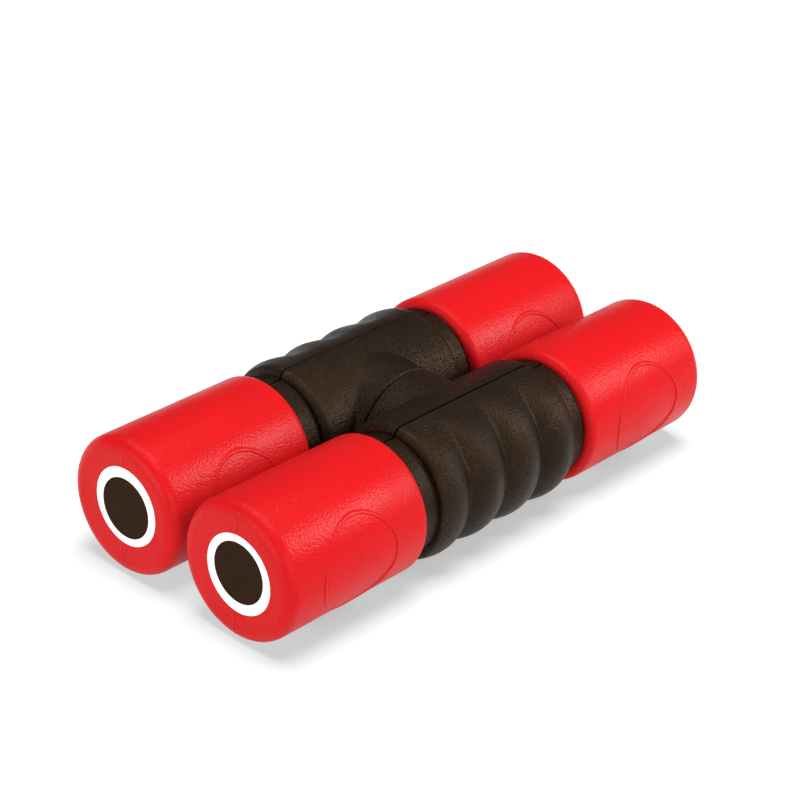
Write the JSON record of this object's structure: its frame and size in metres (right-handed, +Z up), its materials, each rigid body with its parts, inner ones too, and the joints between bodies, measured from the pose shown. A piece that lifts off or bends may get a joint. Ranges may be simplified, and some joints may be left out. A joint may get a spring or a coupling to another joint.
{
  "type": "twist-lock hand shakers",
  "caption": "Pair of double-ended cylindrical hand shakers with finger-lobed grips, joined side by side by a quarter-turn twist lock.",
  "frame": {"origin": "on the table under the middle of the coupling between the two shakers, at the bottom centre of the whole pair", "axes": "+X along both shakers, +Y across them from the front shaker to the rear one, along the twist axis, +Z up"},
  "size_m": [0.19, 0.0916, 0.044],
  "materials": {
    "canister_plastic": "fine leather grain, satin",
    "grip_plastic": "spark-eroded matte",
    "plug_plastic": "smooth moulded",
    "lock_plastic": "smooth moulded",
    "label": "printed vinyl",
    "shot_steel": "polished balls",
    "screw_steel": "zinc plated"
  },
  "bodies": {
    "front_shaker": {"front_finger_grip": "grip_plastic", "front_coupling_grip": "grip_plastic", "front_left_canister": "canister_plastic", "front_left_plug": "plug_plastic", "front_left_label": "label", "front_right_canister": "canister_plastic", "front_right_plug": "plug_plastic", "front_right_label": "label", "front_screws": "screw_steel", "front_lock_spigot": "lock_plastic"},
    "rear_shaker": {"rear_finger_grip": "grip_plastic", "rear_coupling_grip": "grip_plastic", "rear_left_canister": "canister_plastic", "rear_left_plug": "plug_plastic", "rear_left_label": "label", "rear_right_canister": "canister_plastic", "rear_right_plug": "plug_plastic", "rear_right_label": "label", "rear_screws": "screw_steel", "rear_lock_socket": "lock_plastic"},
    "front_left_loose_shot": {"front_left_shot": "shot_steel"},
    "front_right_loose_shot": {"front_right_shot": "shot_steel"},
    "rear_left_loose_shot": {"rear_left_shot": "shot_steel"},
    "rear_right_loose_shot": {"rear_right_shot": "shot_steel"}
  },
  "joints": [
    {"name": "twist_lock", "type": "hinge", "parent": "front_shaker", "child": "rear_shaker", "pos_m": [0, 0, 0.022], "axis": [0, 1, 0], "range_deg": [0, 90]},
    {"name": "front_left_shot_travel", "type": "slide", "parent": "front_shaker", "child": "front_left_loose_shot", "axis": [1, 0, 0], "range_m": [-0.016, 0.016]},
    {"name": "front_right_shot_travel", "type": "slide", "parent": "front_shaker", "child": "front_right_loose_shot", "axis": [1, 0, 0], "range_m": [-0.016, 0.016]},
    {"name": "rear_left_shot_travel", "type": "slide", "parent": "rear_shaker", "child": "rear_left_loose_shot", "axis": [1, 0, 0], "range_m": [-0.016, 0.016]},
    {"name": "rear_right_shot_travel", "type": "slide", "parent": "rear_shaker", "child": "rear_right_loose_shot", "axis": [1, 0, 0], "range_m": [-0.016, 0.016]}
  ]
}
